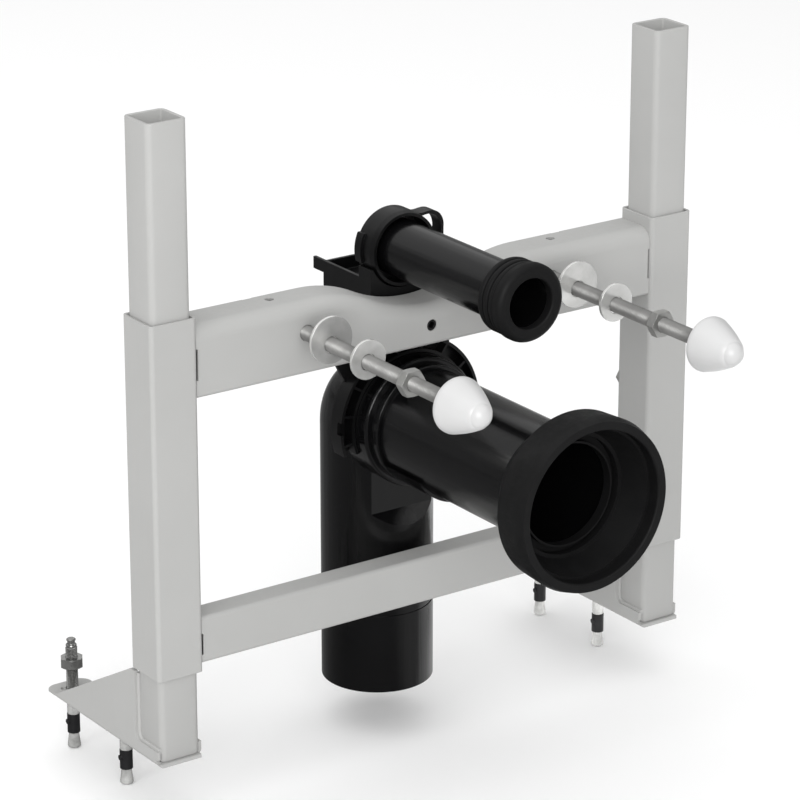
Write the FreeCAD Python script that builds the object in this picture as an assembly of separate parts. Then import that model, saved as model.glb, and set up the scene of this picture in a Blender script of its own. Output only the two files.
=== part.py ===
import FreeCAD, Part
import math
import os

# Wall hung toilet frame for a low wall: two floor posts with bracket feet and wedge anchors, and a welded
# carrier that slides on the posts and holds the pan studs, the flush pipe and the waste bend.
# Millimetres. X runs along the rails, Y towards the wall behind, Z up. The origin lies under the axis of
# the left post, on the underside of its foot.

V = FreeCAD.Vector
X_AXIS = V(1, 0, 0)
Y_AXIS = V(0, 1, 0)
Z_AXIS = V(0, 0, 1)
FULL_TURN = 360.0
CUT = 1.0  # how far a cutting body runs past the face that it opens
SEAT = 0.3  # gap left between pieces that seat on each other with curved or moulded faces

# Posts and the sleeves that slide on them
POST_SPACING = 465.0
POST_TOP = 504.5
POST_WALL = 2.0
POST_CORNER = 3.0
POST_CLEARANCE = 0.8
SLEEVE_SIDE = 40.0
SLEEVE_WALL = 2.0
SLEEVE_CORNER = 3.5
SLEEVE_BOTTOM = 71.0

# Clamp bolts on the rear of the sleeves
CLAMP_RADIUS = 4.0
CLAMP_NUT_FLATS = 13.0
CLAMP_NUT_HEIGHT = 6.5
CLAMP_HEAD_HEIGHT = 5.3
CLAMP_NECK = 6.0
CLAMP_RISE = 130.0

# Folded sheet feet
SHEET = 3.0
SHEET_BEND = 4.0
WELD_GAP = 0.4
FOOT_LIP = 2.5
FOOT_REAR = 156.0
FOOT_CORNER = 10.0
GUSSET_GAP = 2.0
GUSSET_CREST = 1.0
GUSSET_REAR = 134.0
GUSSET_END = 6.0
FLANGE_HEIGHT = 12.5
FLANGE_FILLET = 6.0
FLANGE_SETBACK = 1.3
RELIEF_RADIUS = 1.5
LIP_HEIGHT = 10.5
LIP_SETBACK = 4.2

# Wedge anchors, two to a foot
ANCHOR_FRONT = 62.0
ANCHOR_REAR = 143.0
ANCHOR_OFFSET = -2.0
ANCHOR_RADIUS = 4.8
ANCHOR_HOLE_GAP = 0.7
SIDE_HOLE_RADIUS = 2.8
SIDE_HOLE_PLACE = (-6.5, 2.0)
ANCHOR_TOP = 40.8
ANCHOR_PIN_RADIUS = 3.7
ANCHOR_PIN_LENGTH = 4.5
ANCHOR_DEPTH = 48.0
ANCHOR_CONE_LENGTH = 12.7
ANCHOR_CONE_RADIUS = 5.2
ANCHOR_NECK_RADIUS = 3.9
ANCHOR_SLEEVE_LENGTH = 15.8
ANCHOR_SLEEVE_RADIUS = 5.1
ANCHOR_NUB_RADIUS = 2.2
ANCHOR_NUB_REACH = 0.9
ANCHOR_NUB_DROP = 6.0
ANCHOR_SLEEVE_GAP = 0.3
ANCHOR_NUT_FLATS = 17.0
ANCHOR_NUT_HEIGHT = 8.0
ANCHOR_NUT_RISE = 21.5

# Rails
RAIL_SETBACK = 2.0
RAIL_WALL = 2.0
RAIL_EDGE = 3.0
UPPER_HEIGHT = 55.5
UPPER_DEPTH = 38.0
UPPER_DROP = 8.5
STUD_DROP = 23.0
UPPER_CROWN = 12.0
SADDLE_RUN = 100.0
LOWER_HEIGHT = 38.0
LOWER_DEPTH = 23.0
LOWER_RISE = 5.5
TOP_HOLE_RADIUS = 3.5
TOP_HOLE_SPACING = 264.0
TOP_HOLE_BACK = 13.0
NOTCH_SPACING = 290.0
NOTCH_WIDTH = 9.0
NOTCH_DEPTH = 3.0
INSERT_HOLE_RADIUS = 4.6
INSERT_RISE = 16.0
INSERT_RIM = 0.8
INSERT_RECESS = 2.4
INSERT_LENGTH = 12.0
END_SLIT = 1.6
UPPER_SLIT = (14.0, 38.5)
LOWER_SLIT = (7.0, 24.0)

# Pan studs with their loose fittings
WASTE_HEIGHT = 222.0
STUD_RISE = 100.0
FLUSH_RISE = 135.0
STUD_RADIUS = 6.0
STUD_SPACING = 230.0
STUD_REACH = 212.0
STUD_GAP = 0.2
WASHER_GAP = 0.5
WASHER_THICKNESS = 2.5
SEAT_WASHER_RADIUS = 18.6
SEAT_WASHER_RISE = 3.5
SEAT_WASHER_REACH = 31.0
PAN_WASHER_RADIUS = 15.3
PAN_WASHER_RISE = 2.0
PAN_WASHER_REACH = 79.0
PAN_NUT_FLATS = 19.0
PAN_NUT_HEIGHT = 8.0
PAN_NUT_REACH = 131.0
CAP_RADIUS = 21.0
CAP_GRIP = 21.0
CAP_LENGTH = 36.3
CAP_BAND = 3.0
CAP_NOSE = 10.0
CAP_NOSE_REACH = 70.0
CAP_BULGE = 1.0
CAP_WALL = 3.0
CAP_EDGE = 1.5

# Flush pipe, seal and holder
FLUSH_RADIUS = 22.5
FLUSH_WALL = 2.0
FLUSH_REAR = 40.0
FLUSH_REACH = 118.0
FLUSH_SLOT_WIDTH = 9.0
FLUSH_SLOT_LENGTH = 19.0
FLUSH_SEAL_REAR = 98.0
FLUSH_SEAL_LENGTH = 28.0
FLUSH_SEAL_BULGE = 30.4
FLUSH_SEAL_NECK = 27.2
FLUSH_SEAL_FACE = 24.0
FLUSH_SEAL_LIP = 21.0
FLUSH_SEAL_MOUTH = 19.4
FLUSH_MOUTH_DEPTH = 1.6
FLUSH_RIB_COUNT = 3
FLUSH_RIB_WIDTH = 4.6
FLUSH_RIB_PITCH = 6.4
FLUSH_RIB_RADIUS = 29.4
FLUSH_RIB_EDGE = 1.0
FLUSH_LAND = 4.0
HOLDER_WIDTH = 61.0
HOLDER_REAR = 66.0
HOLDER_WALL = 3.0
HOLDER_SEAT = 36.0
HOLDER_HEIGHT = 21.0
HOLDER_FLOOR = 31.0
HOLDER_SKIRT = 11.0
HOLDER_TAB_LENGTH = 14.0
HOLDER_TAB_HEIGHT = 10.0
CRADLE_HEIGHT = 9.0
CRADLE_INSET = 3.0
CLIP_RADIUS = 30.0
CLIP_LAP = 2.0
CLIP_LENGTH = 22.0
CLIP_WALL = 3.5
CLIP_WEB = 6.0
CLIP_TAPER = 1.0
LUG_THICKNESS = 2.3
LUG_WIDTH = 8.0
LUG_RANGE = (-9.0, 14.0)
STRAP_THICKNESS = 2.5
STRAP_WIDTH = 12.0
STRAP_LINE = [(0.0, -0.6), (10.0, -3.4), (19.0, -5.2), (27.0, -4.6), (35.0, -7.2), (39.2, -13.0),
              (40.0, -20.0)]
STRAP_REACH = 40.0
STRAP_ROOT = (-1.0, 2.0)

# Waste bend, pipe, seal and holder
WASTE_RADIUS = 45.0
WASTE_WALL = 3.0
STACK_BACK = 57.0
STACK_BOTTOM = 10.5
STACK_MARK = 55.0
STACK_MARK_WIDTH = 2.0
STACK_MARK_DEPTH = 0.6
ELBOW_RADIUS = 16.0
PANEL_OFFSET = 34.5
LEDGE_BELOW = 79.5
LEDGE_SLOPE = 1.1
COLLAR_RADIUS = 52.5
COLLAR_REACH = 61.0
COLLAR_LENGTH = 30.0
COLLAR_EDGE = 2.5
RING_RADIUS = 48.5
RING_LENGTH = 9.0
RING_EDGE = 1.2
SOCKET_DEPTH = 25.0
CRADLE_LIP_LENGTH = 46.0
CRADLE_LIP_WALL = 2.5
CRADLE_LIP_DROP = 24.0
WASTE_PIPE_REACH = 165.0
WASTE_SEAL_REAR = 152.0
WASTE_SEAL_LENGTH = 54.5
WASTE_SEAL_GRIP = 2.5
WASTE_SEAL_NECK = (16.0, 54.0)
WASTE_SEAL_BACK = (19.5, 62.5)
WASTE_SEAL_SHOULDER = (23.5, 66.5)
WASTE_SEAL_RADIUS = 68.0
WASTE_SEAL_CHAMFER = 8.0
WASTE_SEAL_FACE = 65.8
WASTE_SEAL_ROUND = 2.0
WASTE_SEAL_BORE = 59.0
WASTE_SEAL_BORE_LENGTH = 9.0
WASTE_SEAL_LEDGE = 57.0
WASTE_SEAL_CONE = 49.5
WASTE_SEAL_WEB = 1.5
WASTE_SEAL_GROOVE = (41.0, 46.5)
WASTE_SEAL_GROOVE_DEPTH = 7.0
WASTE_SEAL_LIP = 39.5
WASTE_SEAL_LIP_LENGTH = 8.0
HOOD_GAP = 1.5
HOOD_SETBACK = 14.0
HOOD_PLATE = 3.0
HOOD_RIM = 2.5
HOOD_RIB_COUNT = 16
HOOD_RIB_WIDTH = 2.0
HOOD_RIB_SETBACK = 1.0
HOOD_DROP = 20.0
HOOD_NOTCH_DEPTH = 5.0
HOOD_NOTCH = (-2.0, 8.0)
HANGER_PLATE = 3.5
HANGER_RISE = 16.0
HANGER_HALF_WIDTH = 44.0
EAR_REACH = 66.0
EAR_RISE = 59.0
EAR_ROOT = (50.0, 28.0)

# Places worked out from the sizes above
POST_SIDE = SLEEVE_SIDE - 2 * (SLEEVE_WALL + POST_CLEARANCE)
POST_HALF = POST_SIDE / 2
SLEEVE_HALF = SLEEVE_SIDE / 2
MIDDLE = POST_SPACING / 2
RAIL_FRONT = -SLEEVE_HALF + RAIL_SETBACK
UPPER_REAR = RAIL_FRONT + UPPER_DEPTH
LOWER_BOTTOM = SLEEVE_BOTTOM + LOWER_RISE
STUD_HEIGHT = WASTE_HEIGHT + STUD_RISE
FLUSH_HEIGHT = WASTE_HEIGHT + FLUSH_RISE
UPPER_TOP = STUD_HEIGHT + STUD_DROP
UPPER_BOTTOM = UPPER_TOP - UPPER_HEIGHT
SLEEVE_TOP = UPPER_TOP + UPPER_DROP
SADDLE_DEPTH = UPPER_TOP - FLUSH_HEIGHT + HOLDER_SEAT
CAP_REACH = STUD_REACH - CAP_GRIP
CLIP_FRONT = UPPER_REAR - CLIP_LAP
CLIP_REAR = CLIP_FRONT + CLIP_LENGTH
COLLAR_FRONT = STACK_BACK - COLLAR_REACH
RING_FRONT = COLLAR_FRONT - RING_LENGTH
HOOD_RADIUS = UPPER_BOTTOM - HOOD_GAP - WASTE_HEIGHT
LEDGE_HEIGHT = WASTE_HEIGHT - LEDGE_BELOW
HALF_LEAN = math.sqrt(0.5)
SIDES = {"left": 0.0, "right": POST_SPACING}


def box(x, y, z):
    """A block between the low and high values given for each axis."""
    return Part.makeBox(x[1] - x[0], y[1] - y[0], z[1] - z[0], V(x[0], y[0], z[0]))


def edges_along(solid, axis):
    """The straight edges that run along an axis."""
    found = []
    for edge in solid.Edges:
        ends = edge.Vertexes
        if len(ends) == 2 and isinstance(edge.Curve, (Part.Line, Part.LineSegment)):
            way = ends[1].Point.sub(ends[0].Point)
            if way.cross(axis).Length < 1e-6 * way.Length:
                found.append(edge)
    return found


def square_bar(x, side, corner, low, high):
    """An upright bar of square section with rounded corners, centred on a post axis."""
    half = side / 2
    bar = box((x - half, x + half), (-half, half), (low, high))
    return bar.makeFillet(corner, edges_along(bar, Z_AXIS))


def square_tube(x, side, wall, corner, low, high):
    """An upright square tube, open at both ends."""
    bore = square_bar(x, side - 2 * wall, max(corner - wall, wall / 2), low - CUT, high + CUT)
    return square_bar(x, side, corner, low, high).cut(bore)


def hexagon(flats, start, axis, length):
    """A hexagonal prism across the given flats."""
    reach = flats / math.sqrt(3)
    if abs(axis.dot(Z_AXIS)) > 0.5:
        across, up = X_AXIS, Y_AXIS
    else:
        across, up = X_AXIS, Z_AXIS
    points = []
    for step in range(7):
        turn = math.radians(60 * step)
        points.append(start + across * (reach * math.cos(turn)) + up * (reach * math.sin(turn)))
    return Part.Face(Part.makePolygon(points)).extrude(axis * length)


def bar_along_y(x, z, radius, rear, front):
    """A round bar from its rear end to its front end, which has the lower Y."""
    return Part.makeCylinder(radius, rear - front, V(x, rear, z), -Y_AXIS)


def sketch(place, outline):
    """A face from points, or from a pair that gives the middle and the end of an arc."""
    edges = []
    here = place(outline[0])
    for step in outline[1:] + outline[:1]:
        if isinstance(step[0], tuple):
            there = place(step[1])
            edges.append(Part.Arc(here, place(step[0]), there).toShape())
        else:
            there = place(step)
            edges.append(Part.LineSegment(here, there).toShape())
        here = there
    return Part.Face(Part.Wire(edges))


def turned(x, z, outline):
    """A solid turned about an axis along Y from an outline of (y, radius) points and arcs."""
    face = sketch(lambda point: V(x, point[0], z + point[1]), outline)
    return face.revolve(V(x, 0, z), Y_AXIS, FULL_TURN)


def bow(start, end):
    """The middle of the arc that leaves its start along the axis and runs to its end."""
    along, rise = end[0] - start[0], end[1] - start[1]
    radius = (along ** 2 + rise ** 2) / (2 * abs(rise))
    half = math.asin(abs(along) / radius) / 2
    return (start[0] + math.copysign(radius * math.sin(half), along),
            start[1] + math.copysign(radius * (1 - math.cos(half)), rise))


def rounded_bar(x, z, radius, rear, front, edge):
    """A round bar along Y whose front edge is rounded."""
    start, end = (front + edge, radius), (front, radius - edge)
    return turned(x, z, [(rear, 0), (rear, radius), start, (bow(start, end), end), (front, 0)])


def post(x):
    """A floor post: one square tube through its sleeve, welded on its foot and open at the top."""
    return square_tube(x, POST_SIDE, POST_WALL, POST_CORNER, SHEET + SEAT, POST_TOP)


def sleeve(x):
    """A square sleeve with a nut welded over a hole in its rear wall for the clamp bolt."""
    tube = square_tube(x, SLEEVE_SIDE, SLEEVE_WALL, SLEEVE_CORNER, SLEEVE_BOTTOM, SLEEVE_TOP)
    seat = V(x, SLEEVE_HALF, SLEEVE_BOTTOM + CLAMP_RISE)
    nut = hexagon(CLAMP_NUT_FLATS, seat, Y_AXIS, CLAMP_NUT_HEIGHT)
    hole = bar_along_y(x, seat.z, CLAMP_RADIUS + STUD_GAP, SLEEVE_HALF + CLAMP_NUT_HEIGHT + CUT, POST_HALF)
    return tube.fuse(nut).cut(hole).removeSplitter()


def clamp_bolt(x):
    """The hexagon bolt whose tip presses on the post and holds the height."""
    z = SLEEVE_BOTTOM + CLAMP_RISE
    head_seat = SLEEVE_HALF + CLAMP_NUT_HEIGHT + CLAMP_NECK
    shank = bar_along_y(x, z, CLAMP_RADIUS, head_seat + CLAMP_HEAD_HEIGHT / 2, POST_HALF + SEAT)
    head = hexagon(CLAMP_NUT_FLATS, V(x, head_seat, z), Y_AXIS, CLAMP_HEAD_HEIGHT)
    return shank.fuse(head).removeSplitter()


def foot(x):
    """A foot folded from sheet: a floor plate, a tall gusset beside the post and a short lip opposite."""
    outer = POST_HALF + WELD_GAP + SHEET
    front = -POST_HALF - FOOT_LIP
    top = SLEEVE_BOTTOM - GUSSET_GAP

    def folded(half, ends, low, high, bend):
        block = box((x - half, x + half), ends, (low, high))
        lower = [edge for edge in edges_along(block, Y_AXIS) if edge.CenterOfMass.z < low + CUT]
        return block.makeFillet(bend, lower)

    channel = folded(outer, (front, FOOT_REAR), 0, top, SHEET_BEND)
    inside = (front - CUT, FOOT_REAR + CUT)
    channel = channel.cut(folded(outer - SHEET, inside, SHEET, top + CUT, SHEET_BEND - SHEET))

    # the gusset side keeps a low flange beside the post and a wedge behind it
    wall_start = FLANGE_SETBACK - POST_HALF
    wedge_start = POST_HALF - POST_CORNER
    inset = FLANGE_FILLET * (1 - HALF_LEAN)
    above = [(front - CUT, SHEET), (wall_start, SHEET), (wall_start, FLANGE_HEIGHT),
             (wedge_start - FLANGE_FILLET, FLANGE_HEIGHT),
             ((wedge_start - inset, FLANGE_HEIGHT + inset), (wedge_start, FLANGE_HEIGHT + FLANGE_FILLET)),
             (wedge_start, top), (SLEEVE_HALF + GUSSET_CREST, top), (GUSSET_REAR, GUSSET_END),
             (GUSSET_REAR + GUSSET_END, SHEET),
             (FOOT_REAR + CUT, SHEET), (FOOT_REAR + CUT, top + CUT), (front - CUT, top + CUT)]
    waste = sketch(lambda point: V(x - outer - CUT, point[0], point[1]), above)
    channel = channel.cut(waste.extrude(X_AXIS * (outer + CUT)))
    relief = V(x - outer - CUT, wall_start, SHEET_BEND)
    channel = channel.cut(Part.makeCylinder(RELIEF_RADIUS, SHEET + 2 * CUT, relief, X_AXIS))

    # the other side keeps only a short lip beside the post
    right = (x + outer - SHEET_BEND, x + outer + CUT)
    lip_start = LIP_SETBACK - POST_HALF
    channel = channel.cut(box((x, right[1]), (front - CUT, FOOT_REAR + CUT), (LIP_HEIGHT, top + CUT)))
    channel = channel.cut(box(right, (front - CUT, lip_start), (-CUT, top)))
    channel = channel.cut(box(right, (POST_HALF, FOOT_REAR + CUT), (-CUT, top)))
    for y in (ANCHOR_FRONT, ANCHOR_REAR):
        drill = V(x + ANCHOR_OFFSET, y, -CUT)
        channel = channel.cut(Part.makeCylinder(ANCHOR_RADIUS + ANCHOR_HOLE_GAP, SHEET + 2 * CUT, drill))
    beside = V(x + ANCHOR_OFFSET + SIDE_HOLE_PLACE[0], ANCHOR_REAR + SIDE_HOLE_PLACE[1], -CUT)
    channel = channel.cut(Part.makeCylinder(SIDE_HOLE_RADIUS, SHEET + 2 * CUT, beside))
    rear = [edge for edge in edges_along(channel, Z_AXIS) if edge.CenterOfMass.y > FOOT_REAR - CUT]
    channel = channel.makeFillet(FOOT_CORNER, rear)

    # the corner under the fold is rounded too
    bounds = box((x - outer, x + outer), (front, FOOT_REAR), (0, top))
    corner = [edge for edge in edges_along(bounds, Z_AXIS)
              if edge.CenterOfMass.y > FOOT_REAR - CUT and edge.CenterOfMass.x < x]
    return channel.common(bounds.makeFillet(FOOT_CORNER, corner))


def anchor_stud(x, y):
    """The anchor's stud: a driving pin on top, a neck under the clip and the wedge cone at the end."""
    cone_top = ANCHOR_CONE_LENGTH - ANCHOR_DEPTH
    neck_top = cone_top + ANCHOR_SLEEVE_LENGTH
    shank = Part.makeCylinder(ANCHOR_RADIUS, ANCHOR_TOP - neck_top, V(x, y, neck_top))
    neck = Part.makeCylinder(ANCHOR_NECK_RADIUS, ANCHOR_SLEEVE_LENGTH, V(x, y, cone_top))
    cone = Part.makeCone(ANCHOR_CONE_RADIUS, ANCHOR_NECK_RADIUS, ANCHOR_CONE_LENGTH, V(x, y, -ANCHOR_DEPTH))
    pin = Part.makeCylinder(ANCHOR_PIN_RADIUS, ANCHOR_PIN_LENGTH, V(x, y, ANCHOR_TOP))
    return shank.fuse([neck, cone, pin]).removeSplitter()


def anchor_clip(x, y):
    """The split expansion clip round the stud's neck, with a nub that keeps it from turning."""
    low = ANCHOR_CONE_LENGTH - ANCHOR_DEPTH
    high = low + ANCHOR_SLEEVE_LENGTH
    inner = ANCHOR_NECK_RADIUS + ANCHOR_SLEEVE_GAP
    ring = Part.makeCylinder(ANCHOR_SLEEVE_RADIUS, high - low, V(x, y, low))
    bore = Part.makeCylinder(inner, high - low + 2 * CUT, V(x, y, low - CUT))
    slit = box((x, x + 2 * ANCHOR_SLEEVE_RADIUS), (y - ANCHOR_SLEEVE_GAP, y + ANCHOR_SLEEVE_GAP),
               (low - CUT, high + CUT))
    side = V(x - inner, y, high - ANCHOR_NUB_DROP)
    nub = Part.makeCylinder(ANCHOR_NUB_RADIUS, ANCHOR_SLEEVE_RADIUS + ANCHOR_NUB_REACH - inner, side, -X_AXIS)
    return ring.fuse(nub).cut(bore).cut(slit)


def drilled_nut(flats, start, axis, height, bore):
    """A hexagon nut with its corners turned off at both faces."""
    reach = flats / math.sqrt(3)
    drop = (reach - flats / 2) / math.sqrt(3)
    nut = hexagon(flats, start, axis, height)
    turn = Part.makeCylinder(reach, height - 2 * drop, start + axis * drop, axis)
    turn = turn.fuse([Part.makeCone(flats / 2, reach, drop, start, axis),
                      Part.makeCone(reach, flats / 2, drop, start + axis * (height - drop), axis)])
    hole = Part.makeCylinder(bore, height + 2 * CUT, start - axis * CUT, axis)
    return nut.common(turn).cut(hole).removeSplitter()


def saddle_block(inset, overrun):
    """The upper rail's outer form, or its hollow: a bar whose top dips in the middle for the flush pipe."""
    x0, x1 = SLEEVE_HALF - overrun, POST_SPACING - SLEEVE_HALF + overrun
    low, top = UPPER_BOTTOM + inset, UPPER_TOP - inset
    arc_radius = (SADDLE_RUN ** 2 + SADDLE_DEPTH ** 2) / (4 * SADDLE_DEPTH)
    swing = math.asin(SADDLE_RUN / 2 / arc_radius) / 2
    side, drop = arc_radius * math.sin(swing), arc_radius * (1 - math.cos(swing))
    half_run, half_depth = SADDLE_RUN / 2, SADDLE_DEPTH / 2

    def place(across, up):
        return V(across, RAIL_FRONT + inset, up)

    right_out = place(MIDDLE + SADDLE_RUN, top)
    right_mid = place(MIDDLE + half_run, top - half_depth)
    left_mid = place(MIDDLE - half_run, top - half_depth)
    left_out = place(MIDDLE - SADDLE_RUN, top)
    corners = [left_out, place(x0, top), place(x0, low), place(x1, low), place(x1, top), right_out]
    edges = [Part.LineSegment(a, b).toShape() for a, b in zip(corners, corners[1:])]
    edges += [Part.Arc(right_out, place(MIDDLE + SADDLE_RUN - side, top - drop), right_mid).toShape(),
              Part.Arc(right_mid, place(MIDDLE, top - SADDLE_DEPTH), left_mid).toShape(),
              Part.Arc(left_mid, place(MIDDLE - SADDLE_RUN + side, top - drop), left_out).toShape()]
    block = Part.Face(Part.Wire(edges)).extrude(Y_AXIS * (UPPER_DEPTH - 2 * inset))
    crown, others = [], []
    for edge in block.Edges:
        place_y = edge.BoundBox.YLength
        if place_y < CUT and edge.BoundBox.XLength > CUT:
            on_front = abs(edge.BoundBox.YMin - RAIL_FRONT - inset) < CUT / 2
            on_top = edge.CenterOfMass.z > low + CUT
            (crown if on_front and on_top else others).append(edge)
    block = block.makeFillet(UPPER_CROWN - inset, crown)
    keep = []
    for edge in block.Edges:
        middle = edge.CenterOfMass
        for other in others:
            if middle.distanceToPoint(other.CenterOfMass) < CUT / 10:
                keep.append(edge)
    return block.makeFillet(RAIL_EDGE - inset, keep)


def upper_rail():
    """The upper rail: a pressed tube with a saddle, end slits, holes for studs and insert, and notches."""
    rail = saddle_block(0, 0).cut(saddle_block(RAIL_WALL, CUT))
    through = RAIL_FRONT + RAIL_WALL + CUT
    for side in (-1, 1):
        stud_x = MIDDLE + side * STUD_SPACING / 2
        rail = rail.cut(bar_along_y(stud_x, STUD_HEIGHT, STUD_RADIUS + STUD_GAP, through, RAIL_FRONT - CUT))
        top_x = MIDDLE + side * TOP_HOLE_SPACING / 2
        drill = V(top_x, UPPER_REAR - TOP_HOLE_BACK, UPPER_TOP - RAIL_WALL - CUT)
        rail = rail.cut(Part.makeCylinder(TOP_HOLE_RADIUS, RAIL_WALL + 2 * CUT, drill))
        notch_x = MIDDLE + side * NOTCH_SPACING / 2
        rail = rail.cut(box((notch_x - NOTCH_WIDTH / 2, notch_x + NOTCH_WIDTH / 2),
                            (UPPER_REAR - NOTCH_DEPTH, UPPER_REAR + CUT),
                            (UPPER_TOP - NOTCH_DEPTH, UPPER_TOP + CUT)))
        rail = rail.cut(end_slit(side, UPPER_BOTTOM, UPPER_SLIT))
    insert = bar_along_y(MIDDLE, UPPER_BOTTOM + INSERT_RISE, INSERT_HOLE_RADIUS, through, RAIL_FRONT - CUT)
    return rail.cut(insert)


def end_slit(side, bottom, rise):
    """The slit where a rail's front wall stops short of its sleeve, on the left (-1) or the right (1)."""
    end = MIDDLE + side * (MIDDLE - SLEEVE_HALF)
    x = sorted((end + side * CUT, end - side * END_SLIT))
    return box(x, (RAIL_FRONT - CUT, RAIL_FRONT + RAIL_WALL + CUT), (bottom + rise[0], bottom + rise[1]))


def rail_insert():
    """The plastic fixing plug in the middle of the upper rail, with a blind recess."""
    z = UPPER_BOTTOM + INSERT_RISE
    radius = INSERT_HOLE_RADIUS - STUD_GAP
    plug = bar_along_y(MIDDLE, z, radius, RAIL_FRONT + INSERT_LENGTH, RAIL_FRONT + INSERT_RIM)
    recess = bar_along_y(MIDDLE, z, INSERT_RECESS, RAIL_FRONT + INSERT_LENGTH / 2, RAIL_FRONT - CUT)
    return plug.cut(recess)


def lower_rail():
    """The lower rail: a plain rectangular tube, shallow enough for the waste pipe to pass behind it."""
    def bar(inset, overrun):
        solid = box((SLEEVE_HALF - overrun, POST_SPACING - SLEEVE_HALF + overrun),
                    (RAIL_FRONT + inset, RAIL_FRONT + LOWER_DEPTH - inset),
                    (LOWER_BOTTOM + inset, LOWER_BOTTOM + LOWER_HEIGHT - inset))
        return solid.makeFillet(RAIL_EDGE - inset, edges_along(solid, X_AXIS))

    rail = bar(0, 0).cut(bar(RAIL_WALL, CUT))
    for side in (-1, 1):
        rail = rail.cut(end_slit(side, LOWER_BOTTOM, LOWER_SLIT))
    return rail


def stud(x):
    """A pan stud: threaded rod from inside the upper rail to inside its cap."""
    return bar_along_y(x, STUD_HEIGHT, STUD_RADIUS, UPPER_REAR - RAIL_WALL - SEAT, RAIL_FRONT - STUD_REACH)


def washer(x, radius, reach, rise):
    """A flat washer on a pan stud, its hole below its middle, at a distance from the rail."""
    front = RAIL_FRONT - reach - WASHER_THICKNESS
    disc = bar_along_y(x, STUD_HEIGHT + rise, radius, front + WASHER_THICKNESS, front)
    hole = bar_along_y(x, STUD_HEIGHT, STUD_RADIUS + WASHER_GAP, front + WASHER_THICKNESS + CUT, front - CUT)
    return disc.cut(hole)


def pan_nut(x):
    """The hexagon nut that will draw the pan on."""
    start = V(x, RAIL_FRONT - PAN_NUT_REACH, STUD_HEIGHT)
    return drilled_nut(PAN_NUT_FLATS, start, -Y_AXIS, PAN_NUT_HEIGHT, STUD_RADIUS + STUD_GAP)


def cap(x):
    """The white push-on cap: a blunt cone with a rounded nose, hollow, with a tube that grips the stud."""
    base = RAIL_FRONT - CAP_REACH
    tip = base - CAP_LENGTH
    nose = tip + CAP_NOSE
    reach = math.radians(CAP_NOSE_REACH)
    shoulder = (nose - CAP_NOSE * math.cos(reach), CAP_NOSE * math.sin(reach))
    nose_middle = (nose - CAP_NOSE * math.cos(reach / 2), CAP_NOSE * math.sin(reach / 2))
    edge, edge_end = (base - CAP_EDGE, CAP_RADIUS), (base, CAP_RADIUS - CAP_EDGE)
    band = (base - CAP_BAND, CAP_RADIUS)
    cone_middle = ((band[0] + shoulder[0]) / 2, (band[1] + shoulder[1]) / 2 + CAP_BULGE)
    grip = STUD_RADIUS + STUD_GAP
    grip_end = RAIL_FRONT - STUD_REACH - SEAT
    outline = [(base, CAP_RADIUS - CAP_WALL), edge_end, (bow(edge, edge_end), edge), band,
               (cone_middle, shoulder), (nose_middle, (tip, 0)),
               (grip_end, 0), (grip_end, grip), (base, grip), (base, grip + CAP_WALL),
               (nose + CAP_WALL, grip + CAP_WALL)]
    return turned(x, STUD_HEIGHT, outline)


def flush_pipe():
    """The flush pipe over the rail's saddle, with a retaining slot in its underside next to the seal."""
    front = RAIL_FRONT - FLUSH_REACH
    pipe = bar_along_y(MIDDLE, FLUSH_HEIGHT, FLUSH_RADIUS, FLUSH_REAR, front)
    bore = FLUSH_RADIUS - FLUSH_WALL
    pipe = pipe.cut(bar_along_y(MIDDLE, FLUSH_HEIGHT, bore, FLUSH_REAR + CUT, front - CUT))
    seal_rear = RAIL_FRONT - FLUSH_SEAL_REAR
    slot = box((MIDDLE - FLUSH_SLOT_WIDTH / 2, MIDDLE + FLUSH_SLOT_WIDTH / 2),
               (seal_rear + CUT, seal_rear + CUT + FLUSH_SLOT_LENGTH),
               (FLUSH_HEIGHT - FLUSH_RADIUS - CUT, FLUSH_HEIGHT - FLUSH_RADIUS + FLUSH_WALL + CUT))
    return pipe.cut(slot)


def flush_seal():
    """The rubber seal on the flush pipe: ribs behind, a rounded bulge that enters the pan, a round mouth."""
    rear = RAIL_FRONT - FLUSH_SEAL_REAR
    front = rear - FLUSH_SEAL_LENGTH
    bore = FLUSH_RADIUS + SEAT
    pipe_end = RAIL_FRONT - FLUSH_REACH - SEAT
    outline = [(rear, bore)]
    for rib in range(FLUSH_RIB_COUNT):
        start = rear - rib * FLUSH_RIB_PITCH
        end = start - FLUSH_RIB_WIDTH
        outline += [(start, FLUSH_RIB_RADIUS - FLUSH_RIB_EDGE), (start - FLUSH_RIB_EDGE, FLUSH_RIB_RADIUS),
                    (end + FLUSH_RIB_EDGE, FLUSH_RIB_RADIUS), (end, FLUSH_RIB_RADIUS - FLUSH_RIB_EDGE),
                    (end, FLUSH_SEAL_NECK), (start - FLUSH_RIB_PITCH, FLUSH_SEAL_NECK)]
    bulge = rear - FLUSH_RIB_COUNT * FLUSH_RIB_PITCH
    land, face = (bulge - FLUSH_LAND, FLUSH_SEAL_BULGE), (front, FLUSH_SEAL_FACE)
    mouth, lip = (front + FLUSH_MOUTH_DEPTH, FLUSH_SEAL_MOUTH), (front, FLUSH_SEAL_LIP)
    outline += [(bulge, FLUSH_SEAL_BULGE), land, (bow(land, face), face), lip, (bow(mouth, lip), mouth),
                (pipe_end, FLUSH_SEAL_MOUTH), (pipe_end, bore)]
    return turned(MIDDLE, FLUSH_HEIGHT, outline)


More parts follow.
